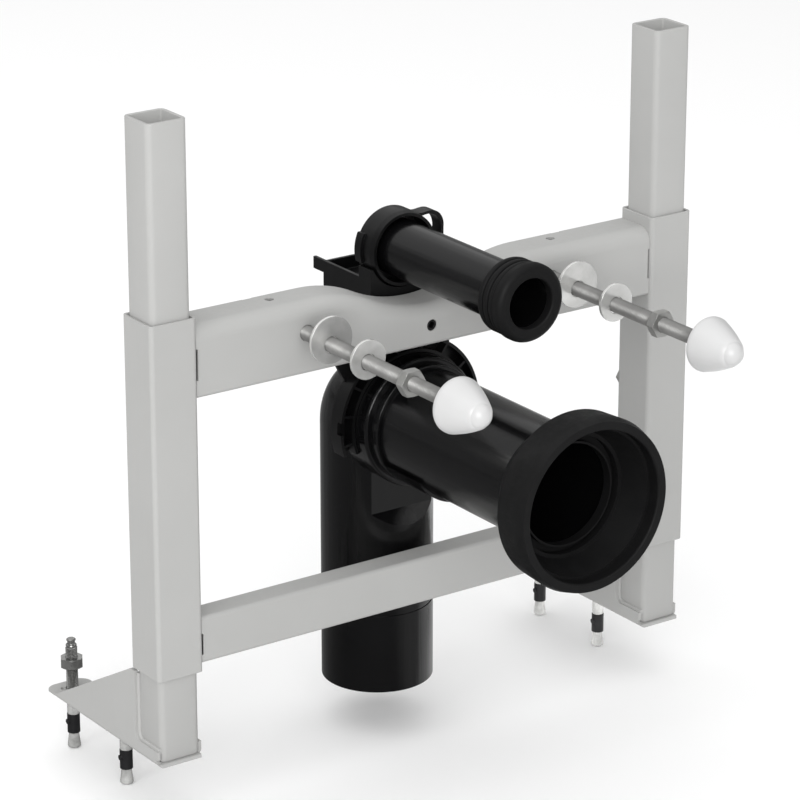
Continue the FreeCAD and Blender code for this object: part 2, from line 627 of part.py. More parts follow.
def flush_holder():
    """The moulded tray behind the saddle: walls, floor, skirt, tabs and a cradle for the clip."""
    front, rear = UPPER_REAR + SEAT, UPPER_REAR + HOLDER_REAR
    top = FLUSH_HEIGHT - HOLDER_HEIGHT
    floor = FLUSH_HEIGHT - HOLDER_FLOOR
    bottom = floor - HOLDER_SKIRT
    x = (MIDDLE - HOLDER_WIDTH / 2, MIDDLE + HOLDER_WIDTH / 2)
    inner_x = (x[0] + HOLDER_WALL, x[1] - HOLDER_WALL)
    inner_y = (front + HOLDER_WALL, rear - HOLDER_WALL)
    tray = box(x, (front, rear), (bottom, top))
    tray = tray.cut(box(inner_x, inner_y, (floor, top + CUT)))
    tray = tray.cut(box(inner_x, inner_y, (bottom - CUT, floor - HOLDER_WALL)))
    for side in (x[0], inner_x[1]):
        tray = tray.fuse(box((side, side + HOLDER_WALL), (rear - CUT, rear + HOLDER_TAB_LENGTH),
                             (top - HOLDER_TAB_HEIGHT, top)))
    cradle_z = (floor - HOLDER_WALL / 2, top + CRADLE_HEIGHT)
    tray = tray.fuse(box(x, (front, CLIP_REAR - CRADLE_INSET), cradle_z))
    seat = bar_along_y(MIDDLE, FLUSH_HEIGHT, CLIP_RADIUS + SEAT, CLIP_REAR, CLIP_FRONT)
    return tray.cut(seat).removeSplitter()


def flush_clip():
    """The clip round the flush pipe: a cup with a web behind, a lug on the left and a strap on the right."""
    bore = FLUSH_RADIUS + SEAT
    cup = CLIP_RADIUS - CLIP_WALL
    web = CLIP_REAR - CLIP_WEB
    outline = [(CLIP_REAR, bore), (CLIP_REAR, CLIP_RADIUS), (CLIP_FRONT + CLIP_WEB, CLIP_RADIUS),
               (CLIP_FRONT, CLIP_RADIUS - CLIP_TAPER), (CLIP_FRONT, cup), (web, cup), (web, bore)]
    ring = turned(MIDDLE, FLUSH_HEIGHT, outline)
    crest, root = CLIP_RADIUS + LUG_THICKNESS, CLIP_RADIUS - CLIP_WALL / 2
    lug_front = CLIP_REAR - LUG_WIDTH
    lug = [(CLIP_REAR, root), (CLIP_REAR, crest), (lug_front, crest), (lug_front, root)]
    lug_space = box((MIDDLE - 2 * crest, MIDDLE), (CLIP_FRONT, CLIP_REAR),
                    (FLUSH_HEIGHT + LUG_RANGE[0], FLUSH_HEIGHT + LUG_RANGE[1]))
    lug = turned(MIDDLE, FLUSH_HEIGHT, lug).common(lug_space)
    start_y = (CLIP_FRONT + CLIP_REAR - STRAP_WIDTH) / 2

    def place(across, up):
        return V(MIDDLE + across, start_y, FLUSH_HEIGHT + up)

    outer = Part.BSplineCurve()
    outer.interpolate([place(across, CLIP_RADIUS + rise) for across, rise in STRAP_LINE])
    inner = Part.BSplineCurve()
    shrink = 1 - STRAP_THICKNESS / STRAP_REACH
    under = CLIP_RADIUS - STRAP_THICKNESS
    inner.interpolate([place(across * shrink, under + rise) for across, rise in STRAP_LINE])
    low, high = STRAP_ROOT
    ends = [place(STRAP_REACH, low), place(STRAP_REACH - STRAP_THICKNESS, low)]
    lines = [(outer.StartPoint, inner.StartPoint), (outer.EndPoint, ends[0]), ends, (ends[1], inner.EndPoint)]
    edges = [outer.toShape(), inner.toShape()] + [Part.LineSegment(a, b).toShape() for a, b in lines]
    strap = Part.Face(Part.Wire(Part.__sortEdges__(edges))).extrude(Y_AXIS * STRAP_WIDTH)
    bar = box((MIDDLE + root, MIDDLE + STRAP_REACH - STRAP_THICKNESS / 2),
              (start_y, start_y + STRAP_WIDTH), (FLUSH_HEIGHT + low, FLUSH_HEIGHT + high))
    return ring.fuse([lug, strap, bar]).removeSplitter()


def elbow_body(radius, panel, ledge):
    """The bend as solids of one radius: upright pipe with a flat panel and ledge, the turn, the branch."""
    pivot_y, pivot_z = STACK_BACK - ELBOW_RADIUS, WASTE_HEIGHT - ELBOW_RADIUS
    reach = 2 * radius
    across = (MIDDLE - reach, MIDDLE + reach)
    stack = Part.makeCylinder(radius, pivot_z + STACK_BOTTOM, V(MIDDLE, STACK_BACK, -STACK_BOTTOM))
    face_y = STACK_BACK - panel
    flat = sketch(lambda point: V(across[0], point[0], point[1]),
                  [(face_y, ledge), (face_y, pivot_z + CUT), (face_y - reach, pivot_z + CUT),
                   (face_y - reach, ledge - reach * LEDGE_SLOPE)])
    disc = Part.Face(Part.Wire(Part.makeCircle(radius, V(MIDDLE, STACK_BACK, pivot_z), Z_AXIS)))
    outer_side = box(across, (pivot_y, STACK_BACK + reach), (pivot_z - CUT, pivot_z + CUT))
    turn = disc.common(outer_side).Faces[0].revolve(V(MIDDLE, pivot_y, pivot_z), X_AXIS, FULL_TURN / 4)
    branch = bar_along_y(MIDDLE, WASTE_HEIGHT, radius, pivot_y, COLLAR_FRONT)
    return stack.cut(flat.extrude(X_AXIS * (2 * reach))), turn, branch


def waste_bend():
    """The waste bend: upright outlet, tight elbow, flat panel with a ledge, stepped socket, cradle lip."""
    stack, turn, branch = elbow_body(WASTE_RADIUS, PANEL_OFFSET, LEDGE_HEIGHT)
    collar_rear = COLLAR_FRONT + COLLAR_LENGTH
    collar = rounded_bar(MIDDLE, WASTE_HEIGHT, COLLAR_RADIUS, collar_rear, COLLAR_FRONT, COLLAR_EDGE)
    ring = rounded_bar(MIDDLE, WASTE_HEIGHT, RING_RADIUS, collar_rear, RING_FRONT, RING_EDGE)
    socket_radius = WASTE_RADIUS + SEAT
    lip_front = RING_FRONT - CRADLE_LIP_LENGTH
    lip = bar_along_y(MIDDLE, WASTE_HEIGHT, socket_radius + CRADLE_LIP_WALL, COLLAR_FRONT, lip_front)
    below = box((MIDDLE - 2 * WASTE_RADIUS, MIDDLE + 2 * WASTE_RADIUS), (lip_front, COLLAR_FRONT),
                (WASTE_HEIGHT - 2 * WASTE_RADIUS, WASTE_HEIGHT - CRADLE_LIP_DROP))
    outer = stack.fuse([turn, branch, collar, ring, lip.common(below)])
    bore = WASTE_RADIUS - WASTE_WALL
    hollows = elbow_body(bore, PANEL_OFFSET - WASTE_WALL, LEDGE_HEIGHT - WASTE_WALL)
    mouth = Part.makeCylinder(bore, CUT, V(MIDDLE, STACK_BACK, -STACK_BOTTOM - CUT))
    socket = bar_along_y(MIDDLE, WASTE_HEIGHT, socket_radius, RING_FRONT + SOCKET_DEPTH, lip_front - CUT)
    mark_seat = V(MIDDLE, STACK_BACK, STACK_MARK)
    mark = Part.makeCylinder(WASTE_RADIUS + CUT, STACK_MARK_WIDTH, mark_seat)
    mark = mark.cut(Part.makeCylinder(WASTE_RADIUS - STACK_MARK_DEPTH, STACK_MARK_WIDTH, mark_seat))
    hollow = mouth.fuse([*hollows, socket, mark])
    return outer.cut(hollow).removeSplitter()


def waste_pipe():
    """The straight waste pipe from the bend's socket to the pan seal."""
    rear = RING_FRONT + SOCKET_DEPTH - SEAT
    front = RAIL_FRONT - WASTE_PIPE_REACH
    pipe = bar_along_y(MIDDLE, WASTE_HEIGHT, WASTE_RADIUS, rear, front)
    return pipe.cut(bar_along_y(MIDDLE, WASTE_HEIGHT, WASTE_RADIUS - WASTE_WALL, rear + CUT, front - CUT))


def waste_seal():
    """The rubber pan connector: short grip on the pipe, thick ring, stepped mouth, cone, groove and lip."""
    rear = RAIL_FRONT - WASTE_SEAL_REAR
    front = rear - WASTE_SEAL_LENGTH
    grip = WASTE_RADIUS + SEAT
    neck, back, shoulder = [(rear - reach, radius) for reach, radius in
                            (WASTE_SEAL_NECK, WASTE_SEAL_BACK, WASTE_SEAL_SHOULDER)]
    rim = (front, WASTE_SEAL_BORE + WASTE_SEAL_ROUND)
    bore_front = (front + WASTE_SEAL_ROUND, WASTE_SEAL_BORE)
    bore_rear = bore_front[0] + WASTE_SEAL_BORE_LENGTH
    pipe_end = RAIL_FRONT - WASTE_PIPE_REACH - SEAT
    groove = pipe_end - WASTE_SEAL_WEB
    web = groove - WASTE_SEAL_GROOVE_DEPTH
    lip = pipe_end - WASTE_SEAL_LIP_LENGTH
    outline = [(rear, grip), (rear, grip + WASTE_SEAL_GRIP), neck, back, (bow(back, shoulder), shoulder),
               (front + WASTE_SEAL_CHAMFER, WASTE_SEAL_RADIUS), (front, WASTE_SEAL_FACE), rim,
               (bow(bore_front, rim), bore_front), (bore_rear, WASTE_SEAL_BORE),
               (bore_rear, WASTE_SEAL_LEDGE), (web, WASTE_SEAL_CONE), (web, WASTE_SEAL_GROOVE[1]),
               (groove, WASTE_SEAL_GROOVE[1]), (groove, WASTE_SEAL_GROOVE[0]),
               (lip, WASTE_SEAL_GROOVE[0]), (lip, WASTE_SEAL_LIP), (pipe_end, WASTE_SEAL_LIP),
               (pipe_end, grip)]
    return turned(MIDDLE, WASTE_HEIGHT, outline)


def bend_holder():
    """The ribbed hood over the bend's collar, open below, on a hanger plate with an ear."""
    front = COLLAR_FRONT + HOOD_SETBACK
    hanger_front = UPPER_REAR + SEAT
    rear = hanger_front + HANGER_PLATE
    bore = COLLAR_RADIUS + SEAT
    inside = HOOD_RADIUS - HOOD_RIM
    plate = bar_along_y(MIDDLE, WASTE_HEIGHT, HOOD_RADIUS, rear, rear - HOOD_PLATE)
    rim = bar_along_y(MIDDLE, WASTE_HEIGHT, HOOD_RADIUS, rear, front)
    rim = rim.cut(bar_along_y(MIDDLE, WASTE_HEIGHT, inside, rear + CUT, front - CUT))
    notch_x = (MIDDLE - HOOD_RADIUS - CUT, MIDDLE - inside + CUT)
    rim = rim.cut(box(notch_x, (front - CUT, front + HOOD_NOTCH_DEPTH),
                      (WASTE_HEIGHT + HOOD_NOTCH[0], WASTE_HEIGHT + HOOD_NOTCH[1])))
    hub = bar_along_y(MIDDLE, WASTE_HEIGHT, bore + HOOD_RIM, rear, front)
    ribs = []
    for step in range(HOOD_RIB_COUNT):
        rib = box((MIDDLE - HOOD_RIB_WIDTH / 2, MIDDLE + HOOD_RIB_WIDTH / 2),
                  (front + HOOD_RIB_SETBACK, rear),
                  (WASTE_HEIGHT + bore, WASTE_HEIGHT + HOOD_RADIUS - HOOD_RIM / 2))
        rib.rotate(V(MIDDLE, 0, WASTE_HEIGHT), Y_AXIS, FULL_TURN * (step + 0.5) / HOOD_RIB_COUNT)
        ribs.append(rib)
    top = UPPER_BOTTOM + HANGER_RISE
    corners = [(HANGER_HALF_WIDTH, top), (HANGER_HALF_WIDTH, WASTE_HEIGHT),
               (-HANGER_HALF_WIDTH, WASTE_HEIGHT), (-EAR_ROOT[0], WASTE_HEIGHT + EAR_ROOT[1]),
               (-EAR_REACH, WASTE_HEIGHT + EAR_RISE), (-EAR_REACH, top)]
    hanger = sketch(lambda point: V(MIDDLE + point[0], hanger_front, point[1]), corners)
    whole = plate.fuse([rim, hub, hanger.extrude(Y_AXIS * HANGER_PLATE)] + ribs)
    whole = whole.cut(bar_along_y(MIDDLE, WASTE_HEIGHT, bore, rear + CUT, front - CUT))
    reach = 2 * HOOD_RADIUS
    open_side = box((MIDDLE - reach, MIDDLE + reach), (front - CUT, rear + CUT),
                    (WASTE_HEIGHT - reach, WASTE_HEIGHT - HOOD_DROP))
    return whole.cut(open_side).removeSplitter()


def build():
    """Every piece by name."""
    pieces = {"upper_rail": upper_rail(), "lower_rail": lower_rail(), "rail_insert": rail_insert(),
              "flush_pipe": flush_pipe(), "flush_seal": flush_seal(), "flush_holder": flush_holder(),
              "flush_clip": flush_clip(), "waste_bend": waste_bend(), "waste_pipe": waste_pipe(),
              "waste_seal": waste_seal(), "bend_holder": bend_holder()}
    for side, x in SIDES.items():
        pieces[side + "_post"] = post(x)
        pieces[side + "_foot"] = foot(x)
        pieces[side + "_sleeve"] = sleeve(x)
        pieces[side + "_clamp_bolt"] = clamp_bolt(x)
        anchor_x = x + ANCHOR_OFFSET
        for place, y in (("front", ANCHOR_FRONT), ("rear", ANCHOR_REAR)):
            name = side + "_" + place + "_anchor"
            pieces[name + "_stud"] = anchor_stud(anchor_x, y)
            pieces[name + "_clip"] = anchor_clip(anchor_x, y)
            pieces[name + "_nut"] = drilled_nut(ANCHOR_NUT_FLATS, V(anchor_x, y, ANCHOR_NUT_RISE), Z_AXIS,
                                                ANCHOR_NUT_HEIGHT, ANCHOR_RADIUS + STUD_GAP)
        stud_x = MIDDLE + (STUD_SPACING / 2 if x > 0 else -STUD_SPACING / 2)
        pieces[side + "_pan_stud"] = stud(stud_x)
        pieces[side + "_seat_washer"] = washer(stud_x, SEAT_WASHER_RADIUS, SEAT_WASHER_REACH,
                                               SEAT_WASHER_RISE)
        pieces[side + "_pan_washer"] = washer(stud_x, PAN_WASHER_RADIUS, PAN_WASHER_REACH, PAN_WASHER_RISE)
        pieces[side + "_pan_nut"] = pan_nut(stud_x)
        pieces[side + "_cap"] = cap(stud_x)
    return pieces


def main():
    """Writes one file for each piece."""
    os.makedirs("parts", exist_ok=True)
    for name, shape in build().items():
        shape.exportStep("parts/" + name + ".step")
        print(name, shape.isValid(), len(shape.Solids), round(shape.Volume))


main()
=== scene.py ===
import math

import bmesh
import bpy
from bpy.props import FloatProperty, FloatVectorProperty, IntProperty, PointerProperty
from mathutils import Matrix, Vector


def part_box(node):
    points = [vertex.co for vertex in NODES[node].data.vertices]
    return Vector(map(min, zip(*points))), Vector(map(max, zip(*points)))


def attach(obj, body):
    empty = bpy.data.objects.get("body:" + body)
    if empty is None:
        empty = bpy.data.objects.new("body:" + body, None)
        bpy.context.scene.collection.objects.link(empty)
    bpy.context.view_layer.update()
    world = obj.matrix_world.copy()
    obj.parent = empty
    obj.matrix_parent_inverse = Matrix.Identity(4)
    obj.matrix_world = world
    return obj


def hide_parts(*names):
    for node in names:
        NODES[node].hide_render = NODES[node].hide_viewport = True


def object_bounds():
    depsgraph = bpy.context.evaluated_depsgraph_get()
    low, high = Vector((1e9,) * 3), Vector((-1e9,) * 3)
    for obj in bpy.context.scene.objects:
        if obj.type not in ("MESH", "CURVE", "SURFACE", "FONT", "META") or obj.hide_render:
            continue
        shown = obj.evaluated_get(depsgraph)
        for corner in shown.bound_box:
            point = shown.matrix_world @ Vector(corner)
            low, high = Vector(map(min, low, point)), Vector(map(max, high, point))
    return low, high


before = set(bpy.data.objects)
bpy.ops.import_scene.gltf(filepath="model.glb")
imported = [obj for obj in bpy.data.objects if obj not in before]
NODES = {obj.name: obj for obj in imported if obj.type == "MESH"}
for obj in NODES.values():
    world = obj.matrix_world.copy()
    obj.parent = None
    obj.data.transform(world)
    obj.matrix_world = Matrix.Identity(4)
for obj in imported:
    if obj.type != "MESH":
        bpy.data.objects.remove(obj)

bl_info = {
    "name": "Wall Hung Toilet Frame",
    "version": (1, 0, 0),
    "blender": (4, 5, 0),
    "location": "3D View > Sidebar > Toilet Frame",
    "description": "Dresses a toilet frame with threads, soft edges, finishes and a studio",
    "category": "Object",
}

CAD_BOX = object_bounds()
QUARTER = math.pi / 2

# Rounded edges: faces that meet at more than this angle are softened
EDGE_ANGLE = math.radians(32)
EDGE_SEGMENTS = 2

# A thread's ridge is this share of its pitch tall on each side
THREAD_FLANK = 0.46

# Small steps on an anchor: heights and radii measured from the place named, in metres
ANCHOR_SIDES = 24
ANCHOR_FOOT = ((0, -0.0006), (0.0006, 0), (0.002, 0))  # the cone's wide end
ANCHOR_SHOULDER = ((0.0003, -0.0002), (0.0008, 0))  # the shank above the clip
ANCHOR_TIP = ((-0.0012, -0.0003), (-0.0004, -0.0006))  # the shank under the pin
ANCHOR_PIN_ROOT = ((0, -0.0004), (0.001, -0.0007))  # the pin above the shank
ANCHOR_PIN_HEAD = ((-0.0018, -0.0006), (-0.0014, 0), (-0.0006, 0), (0, -0.0006))  # the top of the pin
ANCHOR_THREAD_STOP = 0.0016

# Rings of a cap: at its rim as a share of the rounding, along its cone, and round its nose in degrees
CAP_SIDES = 64
CAP_RIM_BOW = 0.3
CAP_CONE_RINGS = 12
CAP_NOSE_MEETS = 78
CAP_NOSE_TURNS = range(70, 0, -7)

# The studio in metres: its floor, its light panels and its camera
FLOOR_RADIUS = 15.0
FLOOR_THICKNESS = 0.02
FLOOR_GAP = 0.0005
MIDDLE = (0.23, 0.0, 0.25)
PANELS = (
    # name, place, target, size, strength, seen in reflections
    ("front_panel", (-2.7, -4.5, 2.15), MIDDLE, (3.6, 3.3), "key", True),
    ("top_panel", (0.25, -0.5, 4.0), (0.25, -0.5, 0.0), (7.0, 7.0), "top", True),
    ("rear_panel", (0.38, 3.0, 2.05), (0.38, 0.0, 1.2), (4.5, 2.1), "rear", True),
    ("side_panel", (-5.0, -1.6, 3.2), MIDDLE, (2.6, 2.6), "side", False),
)
# How bright the floor is in reflections, by direction as a share of a turn
FLOOR_END_LEVEL = 0.15
FLOOR_LEVELS = ((0.2, 0.15), (0.34, 0.5), (0.41, 0.4), (0.45, 1.0), (0.57, 1.0), (0.65, 0.35), (0.75, 0.2))
CAMERA_PLACE = Vector((-1.32810, -2.20232, 1.22155))
CAMERA_AIM = Vector((0.25731, 0.0602, 0.21601))
CAMERA_LENS = 166.51
CAMERA_SENSOR = 36
CAMERA_REACH = 50


class ThreadSizes(bpy.types.PropertyGroup):
    """Thread sizes of the studs."""

    pan_pitch: FloatProperty(name="Pan stud pitch", description="Rise of the pan stud's thread in one turn",
                             default=0.00175, unit="LENGTH")
    anchor_pitch: FloatProperty(name="Anchor pitch", description="Rise of the anchor's thread in one turn",
                                default=0.00125, unit="LENGTH")
    depth: FloatProperty(name="Thread depth", description="Depth of a thread as a share of its pitch",
                         default=0.61, subtype="FACTOR")
    steps: IntProperty(name="Steps", description="Divisions of a thread in one turn", default=20)


class AnchorSizes(bpy.types.PropertyGroup):
    """Sizes of the anchors' studs."""

    shank: FloatProperty(name="Shank", description="Radius of the shank over its thread", default=0.0048,
                         unit="LENGTH")
    neck: FloatProperty(name="Neck", description="Radius under the clip", default=0.0039, unit="LENGTH")
    plain: FloatProperty(name="Plain length", description="Length of the shank between clip and thread",
                         default=0.012, unit="LENGTH")
    pin: FloatProperty(name="Pin", description="Radius of the driving pin", default=0.0037, unit="LENGTH")
    pin_length: FloatProperty(name="Pin length", description="Length of the driving pin", default=0.0045,
                              unit="LENGTH")


class SteelSizes(bpy.types.PropertyGroup):
    """Sizes of the posts and of the weld beads on the feet."""

    post_corner: FloatProperty(name="Post corner", description="Rounding of the posts' long corners",
                               default=0.005, unit="LENGTH")
    post_wall: FloatProperty(name="Post wall", description="Thickness of the posts' walls", default=0.0032,
                             unit="LENGTH")
    bead: FloatProperty(name="Weld bead", description="Radius of the bead between gusset and post",
                        default=0.0018, unit="LENGTH")
    setback: FloatProperty(name="Bead setback", description="Distance of the bead from the post's rear face",
                           default=0.003, unit="LENGTH")
    flange: FloatProperty(name="Flange height", description="Height of the foot's flange beside the post",
                          default=0.0125, unit="LENGTH")
    fillet: FloatProperty(name="Flange corner", description="Rounding between the flange and the gusset",
                          default=0.006, unit="LENGTH")


class CapSizes(bpy.types.PropertyGroup):
    """Sizes of the caps on the pan studs."""

    radius: FloatProperty(name="Radius", description="Radius of the band at the open end", default=0.0213,
                          unit="LENGTH")
    band: FloatProperty(name="Band", description="Length of the straight band at the open end", default=0.003,
                        unit="LENGTH")
    rim: FloatProperty(name="Rim", description="Rounding of the outer edge at the open end", default=0.0012,
                       unit="LENGTH")
    inner_rim: FloatProperty(name="Inner rim", description="Chamfer of the inner edge at the open end",
                             default=0.0004, unit="LENGTH")
    bulge: FloatProperty(name="Bulge", description="How far the cone swells outwards", default=0.0007,
                         unit="LENGTH")
    nose: FloatProperty(name="Nose", description="Radius of the round nose", default=0.0099, unit="LENGTH")
    crease: FloatProperty(name="Crease", description="Step between the cone and the nose", default=0.0011,
                          unit="LENGTH")
    hollow: FloatProperty(name="Hollow", description="Depth of the hollow at the open end", default=0.012,
                          unit="LENGTH")
    draft: FloatProperty(name="Draft", description="How far the hollow narrows to its end", default=0.002,
                         unit="LENGTH")
    lip: FloatProperty(name="Lip", description="Thickness of the wall round the hollow", default=0.003,
                       unit="LENGTH")


class EdgeSizes(bpy.types.PropertyGroup):
    """How far the sharp edges of each kind of piece are rounded."""

    steel: FloatProperty(name="Steel edges", description="Rounding on painted tube and sheet", default=0.0006,
                         unit="LENGTH")
    fitting: FloatProperty(name="Fitting edges", description="Rounding on nuts and washers", default=0.0004,
                           unit="LENGTH")
    moulding: FloatProperty(name="Moulding edges", description="Rounding on plastic mouldings", default=0.0005,
                            unit="LENGTH")
    rubber: FloatProperty(name="Rubber edges", description="Rounding on the seals", default=0.0006,
                          unit="LENGTH")


class Finishes(bpy.types.PropertyGroup):
    """Colours of the finishes."""

    paint: FloatVectorProperty(name="Paint", description="Powder coat on posts, sleeves, rails and feet",
                               subtype="COLOR", default=(0.4, 0.4, 0.392), size=3)
    zinc: FloatVectorProperty(name="Zinc", description="Zinc on the washers", subtype="COLOR",
                              default=(0.95, 0.95, 0.93), size=3)
    nut: FloatVectorProperty(name="Nut zinc", description="Zinc on nuts and bolts", subtype="COLOR",
                             default=(0.5, 0.5, 0.485), size=3)
    anchor: FloatVectorProperty(name="Anchor steel", description="Steel of the anchors", subtype="COLOR",
                                default=(0.42, 0.42, 0.41), size=3)
    stud: FloatVectorProperty(name="Stud zinc", description="Zinc on the pan studs", subtype="COLOR",
                              default=(0.29, 0.288, 0.28), size=3)
    plastic: FloatVectorProperty(name="Black plastic", description="Pipes, bend, tray, clip and hood",
                                 subtype="COLOR", default=(0.0022, 0.0022, 0.0024), size=3)
    rubber: FloatVectorProperty(name="Rubber", description="Both seals", subtype="COLOR",
                                default=(0.0065, 0.0065, 0.0067), size=3)
    cap: FloatVectorProperty(name="Caps", description="White caps on the pan studs", subtype="COLOR",
                             default=(0.53, 0.53, 0.53), size=3)
    clip: FloatVectorProperty(name="Anchor clips", description="Dark spring steel of the clips",
                              subtype="COLOR", default=(0.012, 0.012, 0.013), size=3)


class StudioLight(bpy.types.PropertyGroup):
    """Strength of the studio's lights."""

    ambient: FloatProperty(name="Ambient", description="Strength of the light from all round", default=0.56)
    key: FloatProperty(name="Key", description="Power of the panel in front on the left", default=185.0,
                       unit="POWER")
    side: FloatProperty(name="Side", description="Power of the panel far out on the left", default=70.0,
                        unit="POWER")
    top: FloatProperty(name="Top", description="Power of the panel overhead", default=125.0, unit="POWER")
    rear: FloatProperty(name="Rear", description="Power of the panel behind the frame", default=15.0,
                        unit="POWER")
    floor: FloatVectorProperty(name="Floor", description="Colour of the pale floor", subtype="COLOR",
                               default=(0.92, 0.92, 0.92), size=3)


def settings():
    """The values on the scene that a user may change."""
    return bpy.context.scene


def only(*objects):
    """Selects just these objects and makes the first one active."""
    bpy.ops.object.select_all(action="DESELECT")
    for item in objects:
        item.select_set(True)
    bpy.context.view_layer.objects.active = objects[0]


def node_names(*endings):
    """The CAD nodes whose names end in one of these words."""
    found = [name for name in NODES if name.endswith(endings)]
    if not found:
        raise RuntimeError("no CAD node ends in " + ", ".join(endings))
    return found


# Materials

def add_node(tree, kind, **sockets):
    """A shader node with its input sockets set by name; spaces are written as underscores."""
    made = tree.nodes.new(kind)
    for name, value in sockets.items():
        made.inputs[name.replace("_", " ")].default_value = value
    return made


def new_group(name, inputs, outputs):
    """An empty shader node group with named sockets; a default of three numbers makes a vector socket."""
    group = bpy.data.node_groups.new(name, "ShaderNodeTree")
    for label, default in inputs:
        kind = "NodeSocketVector" if isinstance(default, tuple) else "NodeSocketFloat"
        socket = group.interface.new_socket(label, in_out="INPUT", socket_type=kind)
        socket.default_value = default
    for label in outputs:
        group.interface.new_socket(label, in_out="OUTPUT", socket_type="NodeSocketFloat")
    return group, group.nodes.new("NodeGroupInput"), group.nodes.new("NodeGroupOutput")


def grain_group():
    """Fine surface grain: a close noise with a slower swell under it, as a height from 0 to 1."""
    name = "fine_grain"
    if name in bpy.data.node_groups:
        return bpy.data.node_groups[name]
    group, given, put = new_group(name, [("Scale", 900.0), ("Swell", 0.35)], ["Height"])
    link = group.links.new
    where = group.nodes.new("ShaderNodeTexCoord")
    close = add_node(group, "ShaderNodeTexNoise", Detail=3.0, Roughness=0.55)
    slow = add_node(group, "ShaderNodeTexNoise", Scale=60.0, Detail=2.0)
    blend = group.nodes.new("ShaderNodeMix")
    link(where.outputs["Object"], close.inputs["Vector"])
    link(where.outputs["Object"], slow.inputs["Vector"])
    link(given.outputs["Scale"], close.inputs["Scale"])
    link(given.outputs["Swell"], blend.inputs["Factor"])
    link(close.outputs["Fac"], blend.inputs["A"])
    link(slow.outputs["Fac"], blend.inputs["B"])
    link(blend.outputs["Result"], put.inputs["Height"])
    return group


def marks_group():
    """Handling marks: soft cloudy patches and faint rubbed streaks, each as a mask from 0 to 1; on the washers
    the patches are also painted reflection.
    """
    name = "handling_marks"
    if name in bpy.data.node_groups:
        return bpy.data.node_groups[name]
    inputs = [("Patch Scale", 9.0), ("Streak Scale", 40.0), ("Stretch", (1.0, 1.0, 1.0))]
    group, given, put = new_group(name, inputs, ["Patches", "Streaks"])
    link = group.links.new
    where = group.nodes.new("ShaderNodeTexCoord")
    patch = add_node(group, "ShaderNodeTexNoise", Detail=4.0, Roughness=0.6)
    spread = add_node(group, "ShaderNodeMapRange", From_Min=0.35, From_Max=0.7)
    stretch = group.nodes.new("ShaderNodeMapping")
    streak = add_node(group, "ShaderNodeTexNoise", Detail=5.0, Roughness=0.65)
    thin = add_node(group, "ShaderNodeMapRange", From_Min=0.4, From_Max=0.7)
    link(where.outputs["Object"], patch.inputs["Vector"])
    link(given.outputs["Patch Scale"], patch.inputs["Scale"])
    link(patch.outputs["Fac"], spread.inputs["Value"])
    link(spread.outputs["Result"], put.inputs["Patches"])
    link(where.outputs["Object"], stretch.inputs["Vector"])
    link(given.outputs["Stretch"], stretch.inputs["Scale"])
    link(stretch.outputs["Vector"], streak.inputs["Vector"])
    link(given.outputs["Streak Scale"], streak.inputs["Scale"])
    link(streak.outputs["Fac"], thin.inputs["Value"])
    link(thin.outputs["Result"], put.inputs["Streaks"])
    return group


def finish(name, colour, shade, roughness, grain, bump, marks, stretch=(1.0, 1.0, 1.0), lines=0.0,
           **constants):
    """A material with cloudy colour, streaked roughness and a relief of grain and drawn lines.

    shade darkens or lightens the patches, roughness gives its range, grain is scale and swell, bump is
    strength and distance, marks are the scales of patches and streaks, stretch draws the streaks out along
    an axis, lines is their share in the relief, and the other values go straight to the shader's sockets.
    """
    if name in bpy.data.materials:
        return bpy.data.materials[name]
    material = bpy.data.materials.new(name)
    material.use_nodes = True
    tree = material.node_tree
    link = tree.links.new
    shader = tree.nodes["Principled BSDF"]
    for label, value in constants.items():
        shader.inputs[label.replace("_", " ")].default_value = value
    mark = tree.nodes.new("ShaderNodeGroup")
    mark.node_tree = marks_group()
    mark.inputs["Patch Scale"].default_value, mark.inputs["Streak Scale"].default_value = marks
    mark.inputs["Stretch"].default_value = stretch
    tone = tree.nodes.new("ShaderNodeMix")
    tone.data_type = "RGBA"
    tone.inputs["A"].default_value = (*colour, 1.0)
    tone.inputs["B"].default_value = (*[part * shade for part in colour], 1.0)
    link(mark.outputs["Patches"], tone.inputs["Factor"])
    link(tone.outputs["Result"], shader.inputs["Base Color"])
    rough = add_node(tree, "ShaderNodeMapRange", To_Min=roughness[0], To_Max=roughness[1])
    link(mark.outputs["Streaks"], rough.inputs["Value"])
    link(rough.outputs["Result"], shader.inputs["Roughness"])
    fine = tree.nodes.new("ShaderNodeGroup")
    fine.node_tree = grain_group()
    fine.inputs["Scale"].default_value, fine.inputs["Swell"].default_value = grain
    height = add_node(tree, "ShaderNodeMix", Factor=lines)
    link(fine.outputs["Height"], height.inputs["A"])
    link(mark.outputs["Streaks"], height.inputs["B"])
    relief = add_node(tree, "ShaderNodeBump", Strength=bump[0], Distance=bump[1])
    link(height.outputs["Result"], relief.inputs["Height"])
    link(relief.outputs["Normal"], shader.inputs["Normal"])
    return material


def paint_material():
    """Light grey satin powder coat with a faint orange peel."""
    return finish("grey_powder_coat", settings().frame_finishes.paint, shade=0.95, roughness=(0.44, 0.56),
                  grain=(1100.0, 0.3), bump=(0.12, 0.0002), marks=(6.0, 30.0), stretch=(6.0, 6.0, 1.0),
                  Specular_IOR_Level=0.22)


def washer_material():
    """Bright zinc plate, cloudy from the bath; its dark washer-sized patches are partly that cloudiness and
    partly painted reflection standing in for the shine across the face.
    """
    return finish("bright_zinc", settings().frame_finishes.zinc, shade=0.62, roughness=(0.15, 0.265),
                  grain=(700.0, 0.8), bump=(0.02, 0.0001), marks=(24.0, 60.0), Metallic=0.66)


def stud_material():
    """Duller, slightly brown zinc on the pan studs."""
    return finish("dull_zinc", settings().frame_finishes.stud, shade=0.75, roughness=(0.34, 0.5),
                  grain=(2400.0, 0.2), bump=(0.25, 0.0001), marks=(45.0, 220.0), Metallic=0.45)


